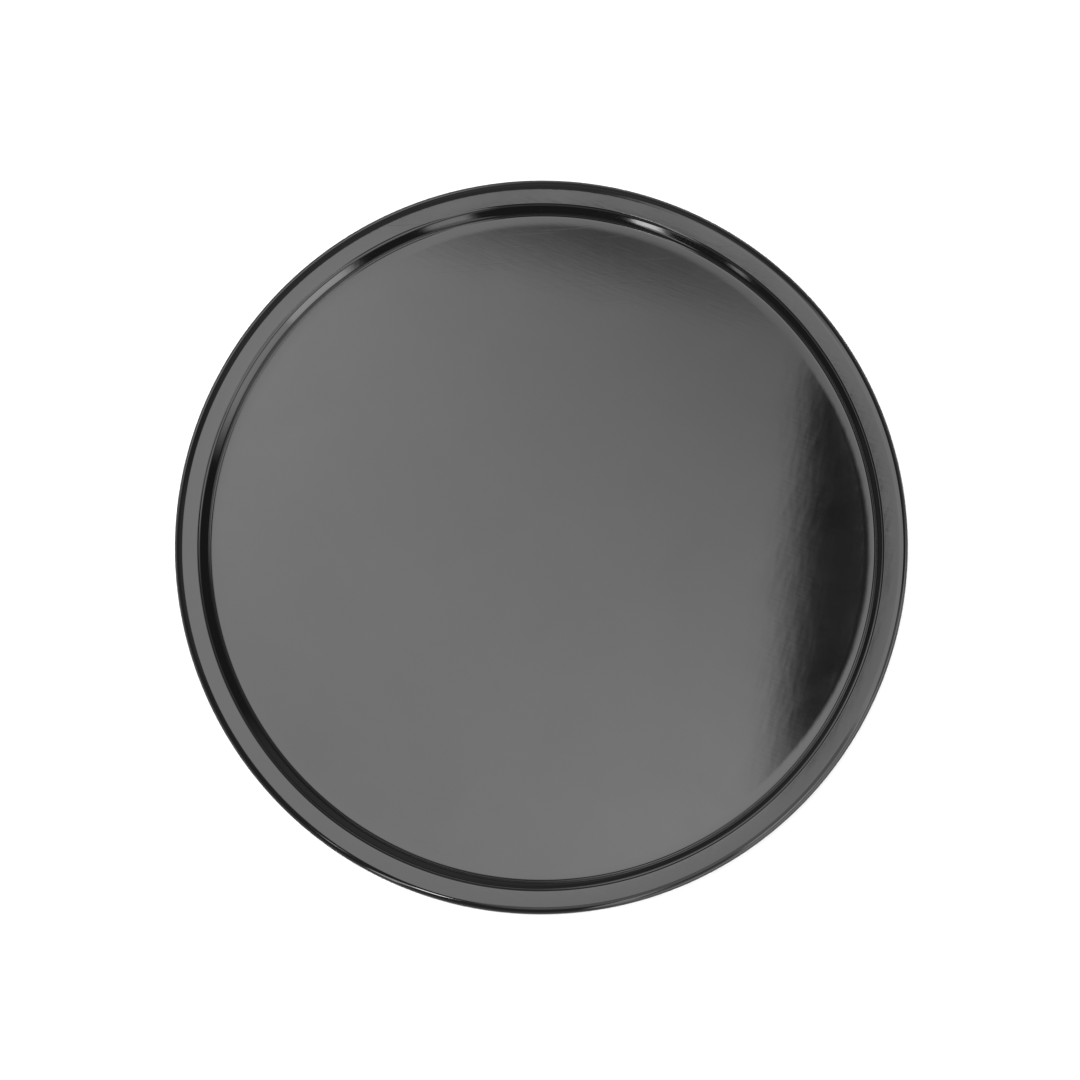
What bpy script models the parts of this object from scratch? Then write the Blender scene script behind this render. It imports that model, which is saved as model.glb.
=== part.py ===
"""Round serving tray pressed from steel sheet, with a wire in its curled rim.

The origin is the centre of the tray's underside, +Z is up, and lengths are in metres.
The section of the sheet is drawn once, along the middle of its thickness, as straight
runs and arcs. It is then given its thickness and turned about the Z axis.
"""

from math import cos, pi, radians, sin, tan

import bmesh
import bpy

# Driving dimensions of the pressing
TRAY_RADIUS = 0.178           # centre to the outside of the curl
SHEET = 0.0007                # thickness of the steel sheet
DEPTH = 0.019                 # serving floor to flange, top face to top face
WALL_SLOPE = radians(85.0)    # wall above the horizontal
FLOOR_FILLET = 0.0013         # inner radius where the floor turns up
FLANGE_FILLET = 0.0010        # inner radius where the wall turns out
FLANGE_WIDTH = 0.0089         # level run between the wall's fillet and the curl
CURL_DIAMETER = 0.0050        # outside of the rolled edge
CURL_SWEEP = radians(300.0)   # how far the edge is rolled, from level

# The wire inside the curl
WIRE_DIAMETER = 0.0028
WIRE_BUTT_GAP = 0.0008        # between the two cut ends of the hoop

# Fineness of the faceted solids
TURN_STEPS = 96               # facets round the tray
FLOOR_FILLET_STEPS = 5
FLANGE_FILLET_STEPS = 3
CURL_STEPS = 10
WIRE_BEVEL_STEPS = 2          # rings of the wire's section per quarter, past the first
POLE_RADIUS = 0.030           # edge of the small flat disc at the middle of the floor
MERGE_DISTANCE = 1.0e-6

# Colours and finishes
STEEL_COLOUR = (0.45, 0.45, 0.45, 1.0)
WIRE_COLOUR = (0.30, 0.30, 0.29, 1.0)


def clear_scene():
    """Remove every object of the open scene."""
    for thing in list(bpy.data.objects):
        bpy.data.objects.remove(thing, do_unlink=True)


def make_material(name, colour, roughness):
    """Return a metal Principled material."""
    material = bpy.data.materials.new(name)
    material.use_nodes = True
    shader = material.node_tree.nodes["Principled BSDF"]
    shader.inputs["Base Color"].default_value = colour
    shader.inputs["Metallic"].default_value = 1.0
    shader.inputs["Roughness"].default_value = roughness
    return material


def arc(centre, radius, start, sweep, steps):
    """Return points on an arc with the way that its outer side faces at each one.

    Angles are counter-clockwise from +X, and a negative sweep turns clockwise.
    """
    points = []
    for step in range(steps + 1):
        angle = start + sweep * step / steps
        outward = (cos(angle), sin(angle))
        place = (centre[0] + radius * outward[0], centre[1] + radius * outward[1])
        points.append((place, outward))
    return points


def sheet_middle():
    """Return the middle line of the sheet from the floor to the curl's cut edge.

    Each entry is a point (radius, height) with the unit normal on the sheet's top side.
    """
    half = SHEET / 2
    floor_bend = FLOOR_FILLET + half
    flange_bend = FLANGE_FILLET + half
    curl_bend = CURL_DIAMETER / 2 - half
    flange_level = half + DEPTH

    curl_x = TRAY_RADIUS - CURL_DIAMETER / 2
    flange_x = curl_x - FLANGE_WIDTH
    wall_top_x = flange_x - flange_bend * tan(WALL_SLOPE / 2)
    wall_foot_x = wall_top_x - DEPTH / tan(WALL_SLOPE)
    floor_x = wall_foot_x - floor_bend * tan(WALL_SLOPE / 2)

    line = [((POLE_RADIUS, half), (0.0, 1.0))]
    foot = arc((floor_x, half + floor_bend), floor_bend, -pi / 2, WALL_SLOPE, FLOOR_FILLET_STEPS)
    line += [(place, (-outward[0], -outward[1])) for place, outward in foot]
    line += arc((flange_x, flange_level - flange_bend), flange_bend,
                pi / 2 + WALL_SLOPE, -WALL_SLOPE, FLANGE_FILLET_STEPS)
    line += arc((curl_x, flange_level - curl_bend), curl_bend, pi / 2, -CURL_SWEEP, CURL_STEPS)
    return line


def offset(line, distance):
    """Return the points of a line moved along their normals."""
    return [(x + nx * distance, z + nz * distance) for (x, z), (nx, nz) in line]


def sheet_section():
    """Return the outline of the sheet from the axis, over its top side and back below."""
    line = sheet_middle()
    top = offset(line, SHEET / 2)
    underside = offset(line, -SHEET / 2)
    return [(0.0, SHEET)] + top + underside[::-1] + [(0.0, 0.0)]


def turn_section(name, section):
    """Return an object made by turning an outline about the Z axis."""
    mesh = bmesh.new()
    points = [mesh.verts.new((x, 0.0, z)) for x, z in section]
    edges = [mesh.edges.new(pair) for pair in zip(points, points[1:])]
    bmesh.ops.spin(mesh, geom=points + edges, cent=(0, 0, 0), axis=(0, 0, 1),
                   dvec=(0, 0, 0), angle=2 * pi, steps=TURN_STEPS)
    bmesh.ops.remove_doubles(mesh, verts=mesh.verts[:], dist=MERGE_DISTANCE)
    bmesh.ops.recalc_face_normals(mesh, faces=mesh.faces[:])
    data = bpy.data.meshes.new(name)
    mesh.to_mesh(data)
    mesh.free()
    data.shade_smooth()
    data.set_sharp_from_angle(angle=radians(40.0))
    turned = bpy.data.objects.new(name, data)
    bpy.context.collection.objects.link(turned)
    return turned


def make_tray_shell():
    """Make the pressing: floor, wall, flange and curl in one sheet."""
    shell = turn_section("tray_shell", sheet_section())
    shell.data.materials.append(make_material("bright steel sheet", STEEL_COLOUR, 0.05))
    return shell


def make_rim_wire():
    """Make the hoop inside the curl, cut to length, with a gap at its butted ends."""
    radius = TRAY_RADIUS - CURL_DIAMETER / 2
    height = SHEET + DEPTH - CURL_DIAMETER / 2
    half_gap = WIRE_BUTT_GAP / 2 / radius
    angles = [2 * pi * step / TURN_STEPS for step in range(1, TURN_STEPS)]
    angles = [half_gap] + angles + [2 * pi - half_gap]

    curve = bpy.data.curves.new("rim_wire", "CURVE")
    curve.dimensions = "3D"
    curve.bevel_depth = WIRE_DIAMETER / 2
    curve.bevel_resolution = WIRE_BEVEL_STEPS
    curve.use_fill_caps = True
    hoop = curve.splines.new("POLY")
    hoop.points.add(len(angles) - 1)
    for point, angle in zip(hoop.points, angles):
        point.co = (radius * cos(angle), radius * sin(angle), height, 1.0)
    wire = bpy.data.objects.new("rim_wire", curve)
    bpy.context.collection.objects.link(wire)
    wire.data.materials.append(make_material("drawn steel wire", WIRE_COLOUR, 0.35))
    return wire


def main():
    """Build the tray."""
    clear_scene()
    make_tray_shell()
    make_rim_wire()


main()
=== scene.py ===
"""Looks of a round serving tray pressed from steel sheet, with a wire in its curled rim.

Everything is in metres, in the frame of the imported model: the origin is the centre of the
underside and +Z is up. The shell and the wire are fine surfaces of turning that stand for the
two faceted solids of the same names. The light comes from a painted studio dome, which the
polished steel mirrors, and from lamps that only the pale floor answers to.
"""

import logging
import math
from dataclasses import dataclass, field
from enum import Enum

import bpy
import numpy as np
from mathutils import Matrix, Vector


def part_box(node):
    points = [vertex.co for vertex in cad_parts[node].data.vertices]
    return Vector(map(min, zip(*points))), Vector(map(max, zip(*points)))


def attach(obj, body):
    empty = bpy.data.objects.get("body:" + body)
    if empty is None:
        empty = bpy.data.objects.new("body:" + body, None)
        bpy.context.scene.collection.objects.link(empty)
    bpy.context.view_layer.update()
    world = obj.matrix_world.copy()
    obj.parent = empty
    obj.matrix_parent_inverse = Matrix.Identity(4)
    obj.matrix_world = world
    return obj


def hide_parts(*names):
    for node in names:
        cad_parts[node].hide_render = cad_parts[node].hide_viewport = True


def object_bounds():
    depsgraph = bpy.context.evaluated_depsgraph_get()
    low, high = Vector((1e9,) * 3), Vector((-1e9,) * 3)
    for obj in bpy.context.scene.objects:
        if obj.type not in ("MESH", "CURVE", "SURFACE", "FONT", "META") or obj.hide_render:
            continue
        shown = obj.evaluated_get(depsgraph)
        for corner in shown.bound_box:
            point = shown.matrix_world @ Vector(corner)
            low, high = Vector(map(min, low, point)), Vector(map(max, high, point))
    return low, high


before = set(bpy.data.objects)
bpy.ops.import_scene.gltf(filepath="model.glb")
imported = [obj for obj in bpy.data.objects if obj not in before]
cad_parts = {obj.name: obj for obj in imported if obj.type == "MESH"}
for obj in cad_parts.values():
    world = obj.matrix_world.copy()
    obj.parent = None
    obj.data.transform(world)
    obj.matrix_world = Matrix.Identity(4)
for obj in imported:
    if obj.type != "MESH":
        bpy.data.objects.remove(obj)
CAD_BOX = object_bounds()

LOG = logging.getLogger("serving_tray")
MM = 0.001
MICRON = 0.000001


class Slot(Enum):
    """The record's material slots."""

    SHEET = "sheet"
    WIRE = "wire"


class Ease(Enum):
    """How the slope of a stretch of sheet goes from its start to its end."""

    ARC = "arc"
    GENTLE = "gentle"


def linear_colour(code: str) -> tuple[float, float, float, float]:
    """Turn an sRGB hex colour into linear values.

    Args:
        code: a colour such as "#a1b2c3".

    Returns:
        Linear red, green and blue, and an alpha of one.
    """
    shares = np.array([int(code[at:at + 2], 16) for at in (1, 3, 5)]) / 255
    linear = np.where(shares <= 0.04045, shares / 12.92, ((shares + 0.055) / 1.055) ** 2.4)
    return (*linear.tolist(), 1.0)


def per_metre(size_mm: float) -> float:
    """Return the texture scale that makes one feature size_mm wide."""
    return 1 / (size_mm * MM)


def add_node(tree: bpy.types.NodeTree, kind: str, settings: dict | None = None,
             links: dict | None = None) -> bpy.types.Node:
    """Add a node, set it up and link its inputs.

    Args:
        tree: the node tree that gets the node.
        kind: the node's type name.
        settings: values for input sockets by name or place, and for the node's own
            properties by name with a leading dot.
        links: output sockets to join to input sockets, by the input's name or place.

    Returns:
        The new node.
    """
    node = tree.nodes.new(kind)
    for name, value in (settings or {}).items():
        if isinstance(name, str) and name.startswith("."):
            setattr(node, name[1:], value)
    for name, value in (settings or {}).items():
        if not (isinstance(name, str) and name.startswith(".")):
            node.inputs[name].default_value = value
    for name, socket in (links or {}).items():
        tree.links.new(socket, node.inputs[name])
    return node


def lathe(name: str, radii: np.ndarray, heights: np.ndarray, columns: int) -> bpy.types.Object:
    """Turn a section about the Z axis into a closed surface.

    The section starts and ends on the axis. Point (i, j) of the grid is the section's point i
    turned by 2 pi j / columns: x = r cos a, y = r sin a, z = h. The first and last points of
    the section are poles, joined to the nearest ring by triangles.

    Args:
        name: the object's name.
        radii: distance of each point of the section from the axis.
        heights: height of each point of the section.
        columns: how many columns of faces go round.

    Returns:
        The linked object, with its faces pointing outwards.
    """
    turn = 2 * np.pi * np.arange(columns) / columns
    ring_radii = radii[1:-1, None]
    rings = np.stack([ring_radii * np.cos(turn), ring_radii * np.sin(turn),
                      np.broadcast_to(heights[1:-1, None], (radii.size - 2, columns))], axis=2)
    poles = np.array([[0.0, 0.0, heights[0]], [0.0, 0.0, heights[-1]]])
    points = np.concatenate([rings.reshape(-1, 3), poles])

    row = np.arange(radii.size - 3)[:, None] * columns
    here = np.arange(columns)[None, :]
    beside = (here + 1) % columns
    quads = np.stack([row + here, row + columns + here, row + columns + beside, row + beside],
                     axis=2).reshape(-1, 4)
    last = (radii.size - 3) * columns
    top_pole, bottom_pole = len(points) - 2, len(points) - 1
    near, next_to = here[0], beside[0]
    top_fan = np.stack([np.full(columns, top_pole), near, next_to], axis=1)
    bottom_fan = np.stack([np.full(columns, bottom_pole), last + next_to, last + near], axis=1)
    return mesh_object(name, points, [quads, top_fan, bottom_fan])


def mesh_object(name: str, points: np.ndarray, face_groups: list[np.ndarray]) -> bpy.types.Object:
    """Make a smooth-shaded mesh object from arrays.

    Args:
        name: the object's name.
        points: an array of points.
        face_groups: arrays of faces, each with one face to a row.

    Returns:
        The linked object.
    """
    mesh = bpy.data.meshes.new(name)
    corners = np.concatenate([group.ravel() for group in face_groups])
    totals = np.concatenate([np.full(len(group), group.shape[1]) for group in face_groups])
    mesh.vertices.add(len(points))
    mesh.vertices.foreach_set("co", points.ravel())
    mesh.loops.add(len(corners))
    mesh.loops.foreach_set("vertex_index", corners)
    mesh.polygons.add(len(totals))
    mesh.polygons.foreach_set("loop_start", np.concatenate([[0], np.cumsum(totals)[:-1]]))
    mesh.polygons.foreach_set("loop_total", totals)
    mesh.update(calc_edges=True)
    mesh.validate()
    mesh.shade_smooth()
    thing = bpy.data.objects.new(name, mesh)
    bpy.context.collection.objects.link(thing)
    return thing


@dataclass(frozen=True)
class Stretch:
    """A stretch of the sheet's section, by how far it runs and the slope it ends at."""

    length: float
    end_slope: float
    rows: int
    ease: Ease = Ease.ARC


@dataclass
class SheetSection:
    """Section of the pressing, worked out from the slope of the sheet along its length.

    The middle of the sheet is r = integral of cos(slope) ds and z = integral of
    sin(slope) ds, where the slope goes from stretch to stretch. Its slope is averaged over a
    short window, because sheet can't change its bend at once. The length of the wall is
    chosen so that the flange comes to the stated height, and the whole line is moved out so
    that the curl ends at the tray's radius.
    """

    tray_radius: float
    thickness: float
    depth: float
    curl_diameter: float
    wall_slope: float = math.radians(85)
    lip_length: float = 4.4 * MM
    lip_slope: float = math.radians(1.05)
    heel_length: float = 0.8 * MM
    heel_slope: float = math.radians(2.6)
    floor_fillet: float = 1.3 * MM
    flange_fillet: float = 1.0 * MM
    settle_length: float = 0.16 * MM
    flange_length: float = 6.09 * MM
    flange_slope: float = math.radians(0.02)
    roll_off_length: float = 2.5 * MM
    roll_off_slope: float = math.radians(-4.0)
    curl_sweep: float = math.radians(300)
    blend: float = 0.12 * MM
    step: float = 0.02 * MM

    def stretches(self, wall_length: float) -> list[Stretch]:
        """Return the stretches of the section outside the flat floor.

        Args:
            wall_length: length of the straight wall.

        Returns:
            The stretches, from the floor's lip to the cut edge inside the curl.
        """
        half = self.thickness / 2
        foot = (self.floor_fillet + half) * (self.wall_slope - self.heel_slope)
        head = (self.flange_fillet + half) * (self.wall_slope - self.flange_slope)
        curl = (self.curl_diameter / 2 - half) * (self.curl_sweep + self.roll_off_slope)
        return [
            Stretch(self.lip_length, self.lip_slope, 12),
            Stretch(self.heel_length, self.heel_slope, 4),
            Stretch(foot, self.wall_slope, 20),
            Stretch(wall_length, self.wall_slope, 6),
            Stretch(head, self.flange_slope, 24),
            Stretch(self.settle_length, self.flange_slope, 2),
            Stretch(self.flange_length, 0.0, 6, Ease.GENTLE),
            Stretch(self.roll_off_length, self.roll_off_slope, 8, Ease.GENTLE),
            Stretch(curl, -self.curl_sweep, 40),
        ]

    def middle_line(self, wall_length: float) -> tuple[np.ndarray, ...]:
        """Integrate the slope along the sheet.

        Args:
            wall_length: length of the straight wall.

        Returns:
            Distance along the sheet, radius, height and slope at each fine step, and the
            distances along the sheet that the mesh takes its rows from. The radius starts
            at the inside of the lip, from zero.
        """
        runs = self.stretches(wall_length)
        ends = np.cumsum([run.length for run in runs])
        starts = np.concatenate([[0.0], ends[:-1]])
        start_slopes = [0.0, *(run.end_slope for run in runs[:-1])]
        along = np.arange(0.0, ends[-1], self.step)
        slope = np.zeros_like(along)
        for start, run, start_slope in zip(starts, runs, start_slopes):
            share = np.clip((along - start) / run.length, 0, 1)
            if run.ease is Ease.GENTLE:
                share = share * share * (3 - 2 * share)
            inside = along >= start
            slope[inside] = (start_slope + (run.end_slope - start_slope) * share)[inside]
        width = max(1, round(self.blend / self.step))
        padded = np.pad(slope, (width // 2, width - 1 - width // 2), mode="edge")
        slope = np.convolve(padded, np.ones(width) / width, mode="valid")
        radius = np.concatenate([[0.0], np.cumsum(np.cos(slope[:-1]) * self.step)])
        height = np.concatenate([[0.0], np.cumsum(np.sin(slope[:-1]) * self.step)])
        rows = np.concatenate([np.linspace(start, start + run.length, run.rows, endpoint=False)
                               for start, run in zip(starts, runs)] + [along[-1:]])
        return along, radius, height, slope, rows

    def outline(self, floor_rows: int = 8) -> tuple[np.ndarray, np.ndarray]:
        """Work out the closed outline of the sheet.

        The two faces lie half a thickness from the middle line along its normal
        (-sin slope, cos slope).

        Args:
            floor_rows: how many rings the flat floor has.

        Returns:
            Radii and heights, from the axis over the top side, round the cut edge and back
            along the underside to the axis.
        """
        half = self.thickness / 2
        trial = 10 * MM
        height = self.middle_line(trial)[2]
        rise = height.max()
        wall_length = trial + (self.depth - rise) / math.sin(self.wall_slope)
        along, radius, height, slope, rows = self.middle_line(wall_length)
        radius = radius + self.tray_radius - half - radius.max()
        height = height + half

        lip_start = float(radius[0])
        floor = np.linspace(lip_start / floor_rows, lip_start, floor_rows, endpoint=False)
        radii = np.concatenate([floor, np.interp(rows, along, radius)])
        heights = np.concatenate([np.full(floor_rows, half), np.interp(rows, along, height)])
        slopes = np.concatenate([np.zeros(floor_rows), np.interp(rows, along, slope)])
        across, up = -np.sin(slopes) * half, np.cos(slopes) * half
        return (np.concatenate([[0.0], radii + across, (radii - across)[::-1], [0.0]]),
                np.concatenate([[2 * half], heights + up, (heights - up)[::-1], [0.0]]))


@dataclass(frozen=True)
class MirrorSteel:
    """Finish of the sheet: 18/8 stainless steel, cold-rolled, bright annealed and buffed.

    The eye gets a dark mirror with an orange peel a few millimetres wide, faint rolling lines
    all one way, slow waves from the press, a thin haze of wiping marks and a few hairline
    scratches. Sizes are a length and a width. Real rolling lines are finer than 0.1 mm, and
    they are drawn as coarse as they need to be to show.
    """

    name: str = "stainless steel, bright annealed and buffed"
    colour: str = "#b6b6b6"
    worn_colour: str = "#afafaf"
    roughness: float = 0.035
    hazed_roughness: float = 0.055
    peel_size_mm: tuple[float, float] = (13.0, 5.0)
    peel_height: float = 4.6 * MICRON
    peel_turn: float = math.radians(76)
    line_size_mm: tuple[float, float] = (13.0, 1.6)
    line_height: float = 2.2 * MICRON
    line_turn: float = math.radians(-22)
    wave_mm: float = 110.0
    wave_height: float = 35 * MICRON
    haze_mm: float = 45.0
    haze_range: tuple[float, float] = (0.35, 0.75)
    scratch_size_mm: tuple[float, float] = (70.0, 0.9)
    scratch_range: tuple[float, float] = (0.70, 0.76)
    scratch_height: float = 0.6 * MICRON
    scratch_turn: float = math.radians(3)

    def make(self) -> bpy.types.Material:
        """Build the material.

        Returns:
            The material.
        """
        material = bpy.data.materials.new(self.name)
        material.use_nodes = True
        tree = material.node_tree
        shader = tree.nodes["Principled BSDF"]
        place = add_node(tree, "ShaderNodeTexCoord").outputs["Object"]

        haze = add_node(tree, "ShaderNodeTexNoise",
                        {"Scale": per_metre(self.haze_mm), "Detail": 5.0, "Roughness": 0.6,
                         "Distortion": 0.6}, {"Vector": place})
        tint = add_node(tree, "ShaderNodeMix",
                        {".data_type": "RGBA", 6: linear_colour(self.colour),
                         7: linear_colour(self.worn_colour)}, {0: haze.outputs["Fac"]})
        polish = add_node(tree, "ShaderNodeMapRange",
                          {"From Min": self.haze_range[0], "From Max": self.haze_range[1],
                           "To Min": self.roughness, "To Max": self.hazed_roughness},
                          {"Value": haze.outputs["Fac"]})

        peel = add_node(tree, "ShaderNodeTexNoise", {"Scale": 1.0, "Detail": 1.5},
                        {"Vector": self.stretched(tree, place, self.peel_turn,
                                                  self.peel_size_mm)})
        lines = add_node(tree, "ShaderNodeTexNoise", {"Scale": 1.0, "Detail": 2.0},
                         {"Vector": self.stretched(tree, place, self.line_turn,
                                                   self.line_size_mm)})
        streaks = add_node(tree, "ShaderNodeTexNoise", {"Scale": 1.0, "Detail": 1.0},
                           {"Vector": self.stretched(tree, place, self.scratch_turn,
                                                     self.scratch_size_mm)})
        scratches = add_node(tree, "ShaderNodeMapRange",
                             {"From Min": self.scratch_range[0],
                              "From Max": self.scratch_range[1], "To Min": 0.0,
                              "To Max": -1.0}, {"Value": streaks.outputs["Fac"]})
        waves = add_node(tree, "ShaderNodeTexNoise",
                         {"Scale": per_metre(self.wave_mm), "Detail": 1.0}, {"Vector": place})
        relief = None
        for source, height in ((waves, self.wave_height), (peel, self.peel_height),
                               (lines, self.line_height), (scratches, self.scratch_height)):
            links = {"Height": source.outputs[0]}
            if relief:
                links["Normal"] = relief.outputs["Normal"]
            relief = add_node(tree, "ShaderNodeBump", {"Strength": 1.0, "Distance": height}, links)

        shader.inputs["Metallic"].default_value = 1.0
        tree.links.new(tint.outputs[2], shader.inputs["Base Color"])
        tree.links.new(polish.outputs["Result"], shader.inputs["Roughness"])
        tree.links.new(relief.outputs["Normal"], shader.inputs["Normal"])
        return material

    def stretched(self, tree: bpy.types.NodeTree, place: bpy.types.NodeSocket, turn: float,
                  size_mm: tuple[float, float]) -> bpy.types.NodeSocket:
        """Turn coordinates about +Z and stretch them to the size of a long feature.

        Args:
            tree: the material's node tree.
            place: the coordinates.
            turn: the way that the feature lies, in radians from +X.
            size_mm: its length and its width.

        Returns:
            Coordinates in which a feature is one unit long and one unit wide.
        """
        length, width = (per_metre(size) for size in size_mm)
        turned = add_node(tree, "ShaderNodeMapping", {"Rotation": (0.0, 0.0, -turn)},
                          {"Vector": place})
        scaled = add_node(tree, "ShaderNodeMapping", {"Scale": (length, width, width)},
                          {"Vector": turned.outputs["Vector"]})
        return scaled.outputs["Vector"]


@dataclass(frozen=True)
class DrawnWire:
    """Finish of the hoop: low-carbon steel wire, cold-drawn.

    The eye gets a plain satin grey with fine lines along the wire.
    """

    name: str = "steel wire, cold-drawn"
    colour: str = "#9a9a98"
    dark_colour: str = "#7c7b78"
    roughness: float = 0.30
    dull_roughness: float = 0.45
    grain_mm: float = 1.5
    grain_height: float = 4 * MICRON

    def make(self) -> bpy.types.Material:
        """Build the material.

        Returns:
            The material.
        """
        material = bpy.data.materials.new(self.name)
        material.use_nodes = True
        tree = material.node_tree
        shader = tree.nodes["Principled BSDF"]
        place = add_node(tree, "ShaderNodeTexCoord").outputs["Object"]
        grain = add_node(tree, "ShaderNodeTexNoise",
                         {"Scale": per_metre(self.grain_mm), "Detail": 4.0}, {"Vector": place})
        tint = add_node(tree, "ShaderNodeMix",
                        {".data_type": "RGBA", 6: linear_colour(self.colour),
                         7: linear_colour(self.dark_colour)}, {0: grain.outputs["Fac"]})
        polish = add_node(tree, "ShaderNodeMapRange",
                          {"To Min": self.roughness, "To Max": self.dull_roughness},
                          {"Value": grain.outputs["Fac"]})
        relief = add_node(tree, "ShaderNodeBump", {"Distance": self.grain_height},
                          {"Height": grain.outputs["Fac"]})
        shader.inputs["Metallic"].default_value = 1.0
        tree.links.new(tint.outputs[2], shader.inputs["Base Color"])
        tree.links.new(polish.outputs["Result"], shader.inputs["Roughness"])
        tree.links.new(relief.outputs["Normal"], shader.inputs["Normal"])
        return material


@dataclass
class TrayShell:
    """The pressing: floor, wall, flange and curled rim in one sheet."""

    node: str = "tray_shell"
    thickness: float = 0.7 * MM
    curl_diameter: float = 5.0 * MM
    columns: int = 360
    finish: MirrorSteel = field(default_factory=MirrorSteel)

    def build(self) -> bpy.types.Object:
        """Turn the section, dress it and put it on the body.

        Returns:
            The piece.
        """
        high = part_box(self.node)[1]
        section = SheetSection(tray_radius=high[0], thickness=self.thickness,
                               depth=high[2] - self.thickness, curl_diameter=self.curl_diameter)
        radii, heights = section.outline()
        piece = lathe("pressed_shell", radii, heights, self.columns)
        piece.data.materials.append(self.finish.make())
        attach(piece, "root")
        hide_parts(self.node)
        return piece


@dataclass
class RimWire:
    """The hoop in the curl, with a gap where its cut ends butt."""

    node: str = "rim_wire"
    columns: int = 360
    sides: int = 16
    butt_gap: float = 0.8 * MM
    finish: DrawnWire = field(default_factory=DrawnWire)

    def build(self) -> bpy.types.Object:
        """Carry the wire's round section along its hoop.

        With hoop radius R and wire radius w, the point at hoop angle a and section angle b is
        x = (R + w cos b) cos a, y = (R + w cos b) sin a, z = h + w sin b. The hoop angle
        leaves out the butt, and each end is closed by a disc.

        Returns:
            The piece.
        """
        low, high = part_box(self.node)
        wire_radius = (high[2] - low[2]) / 2
        hoop_radius = high[1] - wire_radius
        level = (high[2] + low[2]) / 2
        half_gap = self.butt_gap / 2 / hoop_radius
        hoop = np.linspace(half_gap, 2 * np.pi - half_gap, self.columns)[:, None]
        around = (2 * np.pi * np.arange(self.sides) / self.sides)[None, :]
        reach = hoop_radius + wire_radius * np.cos(around)
        tube = np.stack([reach * np.cos(hoop), reach * np.sin(hoop),
                         level + wire_radius * np.sin(around) + 0 * hoop], axis=2).reshape(-1, 3)

        row = (np.arange(self.columns - 1) * self.sides)[:, None]
        here = np.arange(self.sides)[None, :]
        beside = (here + 1) % self.sides
        quads = np.stack([row + here, row + self.sides + here, row + self.sides + beside,
                          row + beside], axis=2).reshape(-1, 4)
        first_disc = np.arange(self.sides)[None, :]
        last_disc = ((self.columns - 1) * self.sides + np.arange(self.sides)[::-1])[None, :]
        piece = mesh_object("rim_hoop", tube, [quads, first_disc, last_disc])
        piece.data.materials.append(self.finish.make())
        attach(piece, "root")
        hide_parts(self.node)
        return piece


@dataclass(frozen=True)
class Card:
    """A soft light card painted on the dome.

    Angles are in degrees. The card covers a stretch of azimuth, counter-clockwise from +X, and
    of angle from the zenith, and its light fades over the soft widths about its edges. A
    negative zenith_from leaves the card without an inner edge. Where cards overlap, the
    brightest counts.
    """

    azimuth: float
    half_width: float
    zenith_from: float
    zenith_to: float
    light: float
    azimuth_soft: float
    zenith_soft: float


@dataclass(frozen=True)
class Flag:
    """A dark flag that cuts a soft straight edge across the overhead soft box.

    The edge faces the way of its azimuth, in degrees. Its reach runs along that way from where
    the dark starts to where it is full, and its span along the edge, upwards or to the right,
    has two soft ends. Both are tangents of angles at the tray. What the flag lets through is
    the share of light left.
    """

    azimuth: float
    reach: tuple[float, float]
    span: tuple[float, float]
    span_soft: float
    lets_through: float


@dataclass(frozen=True)
class SoftBox:
    """The overhead soft box, measured on a level plane from its middle, as tangents of angles.

    Its light drifts by the given shares per tenth to the right, upwards and towards the upper
    right corner. A collar of even light surrounds its face.
    """

    light: float = 0.344
    drift_right: float = -0.13
    drift_up: float = -0.14
    drift_corner: float = -0.28
    face_radius: float = 0.1128
    collar_radius: float = 0.1530
    collar_middle: tuple[float, float] = (0.0, -0.0285)
    edge: float = 0.0015
    collar_light: float = 0.325
    collar_drift: float = 0.13
    collar_azimuth: float = 165.0
    flags: tuple[Flag, ...] = (
        Flag(-5.0, (0.0765, 0.0925), (-0.20, 0.078), 0.046, 0.06),
        Flag(78.0, (0.081, 0.112), (-0.072, 0.095), 0.040, 0.25),
    )


@dataclass(frozen=True)
class Lamp:
    """A large round soft lamp that points at the tray, with its diameter and its power."""

    name: str
    place: tuple[float, float, float]
    size: float
    watts: float


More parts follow.
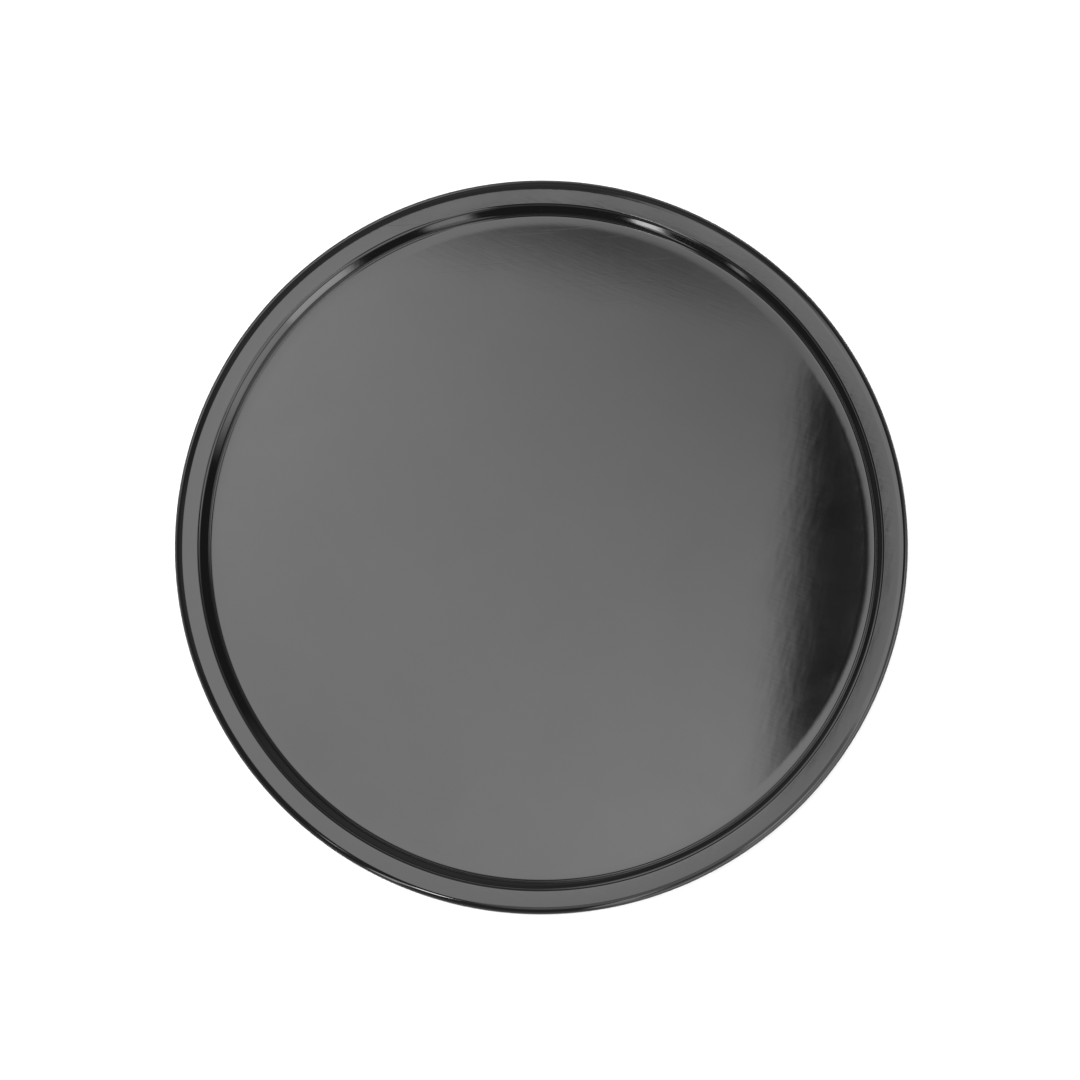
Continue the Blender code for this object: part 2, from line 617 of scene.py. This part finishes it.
@dataclass
class Studio:
    """The pale floor, the painted dome, the lamps and the camera.

    The tray's floor and flange mirror the soft box, and its fillets, wall and curl mirror the
    cards. The studio's floor ends before its light does, so that it runs into the white round
    it. The bands are angles from the zenith, in degrees, over which the room's light goes over
    to the horizon's and the dome to the table.
    """

    floor_radius: float = 2.0
    floor_rings: tuple[float, ...] = (0.05, 0.17, 0.5, 1.0)
    floor_columns: int = 96
    floor_colour: str = "#f4f4f4"
    lamps: tuple[Lamp, ...] = (Lamp("key_lamp", (-0.5, 0.6, 2.6), 2.6, 112.0),
                               Lamp("fill_lamp", (0.9, -0.8, 2.8), 3.0, 84.0))
    view_width: float = 523.6 * MM
    lens_mm: float = 100.0
    sensor_mm: float = 36.0
    camera_offset: tuple[float, float] = (85 * MM, -45 * MM)
    aim: tuple[float, float] = (0.6 * MM, 2.9 * MM)
    rim_drop: float = 2.5 * MM
    soft_box: SoftBox = field(default_factory=SoftBox)
    room_light: float = 0.03
    horizon_light: float = 0.08
    horizon_band: tuple[float, float] = (45.0, 85.0)
    table_light: float = 0.20
    table_band: tuple[float, float] = (94.0, 106.0)
    cards: tuple[Card, ...] = (
        Card(90, 35, 81, 92, 0.26, 20, 8),
        Card(180, 35, 81, 92, 0.26, 20, 8),
        Card(10, 44, -20, 17, 0.33, 20, 6),
        Card(66, 29, -20, 12.2, 0.33, 14, 5),
        Card(270, 25, 8, 15, 0.15, 15, 4),
        Card(200, 44, -20, 12.2, 0.34, 16, 2),
        Card(112, 50, 8, 60, 0.048, 30, 4),
        Card(80, 40, 17, 24, 0.08, 20, 2),
        Card(318, 20, 24, 66, 0.22, 12, 6),
        Card(240, 2.7, 20, 60, 0.5, 1.8, 3),
        Card(278, 4.5, 21, 60, 0.3, 3, 3),
        Card(178, 15, 12, 20, 0.045, 10, 3),
        Card(315, 40, 6, 14, 0.16, 12, 3),
        Card(315, 40, 26, 70, 0.12, 12, 6),
        Card(222, 1.6, 15, 19, 0.5, 1.6, 1),
        Card(240, 2.7, 15, 20, 1.95, 1.8, 1),
        Card(278, 4.5, 16, 21.5, 0.55, 3, 1),
        Card(308, 9, 17, 23, 0.95, 6, 3),
        Card(326, 16, 17, 23, 0.6, 16, 3),
        # For looks from the sides
        Card(135, 36, 56, 78, 0.36, 24, 14),
        Card(322, 42, 62, 90, 0.36, 24, 14),
    )

    @property
    def camera_height(self) -> float:
        """Return how far the camera is above the widest part of the rim."""
        reach = self.view_width * self.lens_mm / self.sensor_mm
        return math.sqrt(reach ** 2 - math.hypot(*self.camera_offset) ** 2)

    def build(self) -> None:
        """Make the floor, the dome, the lamps and the camera."""
        self.build_floor()
        self.build_dome()
        self.build_lamps()
        self.build_camera()
        view = bpy.context.scene.view_settings
        view.view_transform = "Standard"
        view.look = "None"

    def build_floor(self) -> None:
        """Lay a wide round pale floor that polished metal doesn't mirror.

        The point at ring radius r and angle a is x = r cos a, y = r sin a, z = 0, and a fan
        of triangles closes the middle.
        """
        columns = self.floor_columns
        rings = np.array(self.floor_rings) * self.floor_radius
        turn = 2 * np.pi * np.arange(columns) / columns
        ring = rings[:, None]
        grid = np.stack([ring * np.cos(turn), ring * np.sin(turn), 0 * ring * turn], axis=2)
        points = np.concatenate([grid.reshape(-1, 3), [[0.0, 0.0, 0.0]]])
        here = np.arange(columns)[None, :]
        beside = (here + 1) % columns
        row = (np.arange(len(rings) - 1) * columns)[:, None]
        quads = np.stack([row + here, row + columns + here, row + columns + beside,
                          row + beside], axis=2).reshape(-1, 4)
        fan = np.stack([np.full(columns, len(points) - 1), here[0], beside[0]], axis=1)
        floor = mesh_object("studio_floor", points, [quads, fan])
        material = bpy.data.materials.new("matt white paper")
        material.use_nodes = True
        shader = material.node_tree.nodes["Principled BSDF"]
        shader.inputs["Base Color"].default_value = linear_colour(self.floor_colour)
        shader.inputs["Roughness"].default_value = 1.0
        shader.inputs["Specular IOR Level"].default_value = 0.0
        floor.data.materials.append(material)
        floor.visible_glossy = False

    def build_lamps(self) -> None:
        """Hang the large soft lamps that light the floor and aren't mirrored."""
        for lamp in self.lamps:
            light = bpy.data.lights.new(lamp.name, "AREA")
            light.shape = "DISK"
            light.size = lamp.size
            light.energy = lamp.watts
            hung = bpy.data.objects.new(lamp.name, light)
            bpy.context.collection.objects.link(hung)
            hung.location = lamp.place
            hung.rotation_euler = (-hung.location).to_track_quat("-Z", "Y").to_euler()
            hung.visible_glossy = False

    def build_camera(self) -> None:
        """Hang the camera almost straight above the tray, with +Y at the top of its view."""
        camera = bpy.data.cameras.new("camera")
        camera.lens = self.lens_mm
        camera.sensor_width = self.sensor_mm
        hung = bpy.data.objects.new("camera", camera)
        bpy.context.collection.objects.link(hung)
        rim_level = CAD_BOX[1][2] - self.rim_drop
        target = Vector((*self.aim, rim_level))
        hung.location = Vector((*self.camera_offset, rim_level + self.camera_height))
        ahead = (target - hung.location).normalized()
        right = ahead.cross(Vector((0, 1, 0))).normalized()
        turned = Matrix((right, right.cross(ahead), -ahead)).transposed()
        hung.rotation_euler = turned.to_euler()
        bpy.context.scene.camera = hung

    def build_dome(self) -> None:
        """Paint the dome that the steel mirrors, and a white one that the camera sees."""
        world = bpy.data.worlds.new("studio")
        bpy.context.scene.world = world
        world.use_nodes = True
        tree = world.node_tree
        tree.nodes.clear()
        mirrored = add_node(tree, "ShaderNodeBackground", {"Strength": 1.0},
                            {"Color": DomePaint(tree, self).light()})
        seen = add_node(tree, "ShaderNodeBackground", {"Color": linear_colour("#ffffff")})
        path = add_node(tree, "ShaderNodeLightPath")
        chosen = add_node(tree, "ShaderNodeMixShader", {},
                          {0: path.outputs["Is Camera Ray"], 1: mirrored.outputs[0],
                           2: seen.outputs[0]})
        add_node(tree, "ShaderNodeOutputWorld", {}, {"Surface": chosen.outputs[0]})


class DomePaint:
    """Works out the dome's light from the direction that it is seen in.

    The box's level plane is used down to a height of level_least on the unit sphere, and
    ground_least keeps the direction's level part above zero.
    """

    level_least: float = 0.02
    ground_least: float = 1e-8

    def __init__(self, tree: bpy.types.NodeTree, studio: Studio) -> None:
        """Split the direction into the parts that the cards need.

        Args:
            tree: the world's node tree.
            studio: the sizes and lights to paint.
        """
        self.tree = tree
        self.studio = studio
        direction = add_node(tree, "ShaderNodeTexCoord").outputs["Generated"]
        parts = add_node(tree, "ShaderNodeSeparateXYZ", {}, {0: direction})
        self.x, self.y, self.z = parts.outputs
        self.zenith = self.math("ARCCOSINE", self.z)
        flat = self.math("SUBTRACT", 1.0, self.math("MULTIPLY", self.z, self.z))
        self.ground = self.math("SQRT", self.math("MAXIMUM", flat, self.ground_least))

    def math(self, operation: str, first: object, second: object = 0.0) -> bpy.types.NodeSocket:
        """Add a node of arithmetic.

        Args:
            operation: what it does.
            first: a socket or a number.
            second: a socket or a number.

        Returns:
            Its output socket.
        """
        settings = {".operation": operation}
        links = {}
        for place, value in enumerate((first, second)):
            target = links if isinstance(value, bpy.types.NodeSocket) else settings
            target[place] = value
        return add_node(self.tree, "ShaderNodeMath", settings, links).outputs[0]

    def blend(self, value: bpy.types.NodeSocket, start: float, end: float,
              at_start: float = 0.0, at_end: float = 1.0) -> bpy.types.NodeSocket:
        """Go smoothly from one level to another.

        Args:
            value: what is measured.
            start: where the change starts.
            end: where it ends, above start.
            at_start: the level up to the start.
            at_end: the level from the end.

        Returns:
            The socket with the level.
        """
        return add_node(self.tree, "ShaderNodeMapRange",
                        {".interpolation_type": "SMOOTHSTEP", "From Min": start,
                         "From Max": end, "To Min": at_start, "To Max": at_end},
                        {"Value": value}).outputs[0]

    def along(self, across: object, up: object, azimuth: float) -> bpy.types.NodeSocket:
        """Measure a level vector along an azimuth.

        Args:
            across: its part along +X.
            up: its part along +Y.
            azimuth: the way to measure, in degrees from +X.

        Returns:
            The socket with the length.
        """
        angle = math.radians(azimuth)
        return self.math("ADD", self.math("MULTIPLY", across, math.cos(angle)),
                         self.math("MULTIPLY", up, math.sin(angle)))

    def length(self, across: bpy.types.NodeSocket,
               up: bpy.types.NodeSocket) -> bpy.types.NodeSocket:
        """Return the length of a level vector, given its parts along +X and +Y."""
        squares = self.math("ADD", self.math("MULTIPLY", across, across),
                            self.math("MULTIPLY", up, up))
        return self.math("SQRT", squares)

    def card(self, card: Card) -> bpy.types.NodeSocket:
        """Paint one card.

        Args:
            card: the card.

        Returns:
            The socket with its light.
        """
        facing = self.math("DIVIDE", self.along(self.x, self.y, card.azimuth), self.ground)
        turned = self.math("ARCCOSINE", self.math("MINIMUM", facing, 1.0))
        soft = card.azimuth_soft / 2
        width = self.blend(turned, math.radians(max(card.half_width - soft, 0.0)),
                           math.radians(card.half_width + soft), 1.0, 0.0)
        soft = card.zenith_soft / 2
        inner = self.blend(self.zenith, math.radians(card.zenith_from - soft),
                           math.radians(card.zenith_from + soft))
        outer = self.blend(self.zenith, math.radians(card.zenith_to - soft),
                           math.radians(card.zenith_to + soft), card.light, 0.0)
        return self.math("MULTIPLY", width, self.math("MULTIPLY", inner, outer))

    def flag(self, flag: Flag, across: bpy.types.NodeSocket,
             up: bpy.types.NodeSocket) -> bpy.types.NodeSocket:
        """Work out the share of light that a flag leaves.

        Args:
            flag: the flag.
            across: place on the box's plane along +X.
            up: place on the box's plane along +Y.

        Returns:
            The socket with the share.
        """
        reach = self.blend(self.along(across, up, flag.azimuth), *flag.reach)
        place = self.along(across, up, flag.azimuth + (90 if flag.azimuth < 45 else -90))
        soft = flag.span_soft / 2
        low, high = flag.span
        span = self.math("MULTIPLY", self.blend(place, low - soft, low + soft),
                         self.blend(place, high - soft, high + soft, 1.0, 0.0))
        dark = self.math("MULTIPLY", self.math("MULTIPLY", reach, span), 1 - flag.lets_through)
        return self.math("SUBTRACT", 1.0, dark)

    def overhead(self) -> tuple[bpy.types.NodeSocket, bpy.types.NodeSocket]:
        """Paint the overhead soft box and its collar.

        Its plane is level: across = x / z and up = y / z, both from the box's middle, which
        is where a level mirror at the origin shows the camera's own place.

        Returns:
            The light of the box and its collar, and the share of the dome that they take up.
        """
        box, studio = self.studio.soft_box, self.studio
        level = self.math("MAXIMUM", self.z, self.level_least)
        middle = [place / studio.camera_height for place in studio.camera_offset]
        across = self.math("ADD", self.math("DIVIDE", self.x, level), middle[0])
        up = self.math("ADD", self.math("DIVIDE", self.y, level), middle[1])
        tenth = 10.0
        drift = self.math("ADD", self.math("MULTIPLY", across, box.drift_right * tenth),
                          self.math("MULTIPLY", up, box.drift_up * tenth))
        corner = self.math("MULTIPLY", self.math("MULTIPLY", across, up),
                           box.drift_corner * tenth ** 2)
        face = self.math("ADD", 1.0, self.math("ADD", drift, corner))
        face = self.math("MULTIPLY", self.math("MAXIMUM", face, 0.0), box.light)
        for flag in box.flags:
            face = self.math("MULTIPLY", face, self.flag(flag, across, up))

        radius = self.length(across, up)
        facing = self.math("DIVIDE", self.along(across, up, box.collar_azimuth), radius)
        collar = self.math("ADD", 1.0, self.math("MULTIPLY", facing, box.collar_drift))
        collar = self.math("MULTIPLY", collar, box.collar_light)
        in_face = self.blend(radius, box.face_radius - box.edge, box.face_radius + box.edge,
                             1.0, 0.0)
        light = self.math("ADD", self.math("MULTIPLY", face, in_face),
                          self.math("MULTIPLY", collar, self.math("SUBTRACT", 1.0, in_face)))
        outer = self.length(self.math("SUBTRACT", across, box.collar_middle[0]),
                            self.math("SUBTRACT", up, box.collar_middle[1]))
        share = self.blend(outer, box.collar_radius - box.edge, box.collar_radius + box.edge,
                           1.0, 0.0)
        above = self.math("GREATER_THAN", self.z, self.level_least)
        return light, self.math("MULTIPLY", share, above)

    def light(self) -> bpy.types.NodeSocket:
        """Add up the dome.

        Returns:
            The socket with the light from the direction.
        """
        studio = self.studio
        total = self.blend(self.zenith, *map(math.radians, studio.horizon_band),
                           studio.room_light, studio.horizon_light)
        for card in studio.cards:
            total = self.math("MAXIMUM", total, self.card(card))
        sky = self.blend(self.zenith, *map(math.radians, studio.table_band), 1.0, 0.0)
        total = self.math("MULTIPLY", total, sky)
        table = self.math("MULTIPLY", self.math("SUBTRACT", 1.0, sky), studio.table_light)
        total = self.math("ADD", total, table)
        light, share = self.overhead()
        outside = self.math("SUBTRACT", 1.0, share)
        return self.math("ADD", self.math("MULTIPLY", light, share),
                         self.math("MULTIPLY", total, outside))


def main() -> None:
    """Build the tray and its studio, piece by piece."""
    logging.basicConfig(level=logging.INFO, format="%(message)s")
    for maker in (TrayShell(), RimWire()):
        piece = maker.build()
        LOG.info("%s: %d faces", piece.name, len(piece.data.polygons))
    Studio().build()
    LOG.info("studio: floor, dome, lamps and camera")


if __name__ == "__main__":
    main()
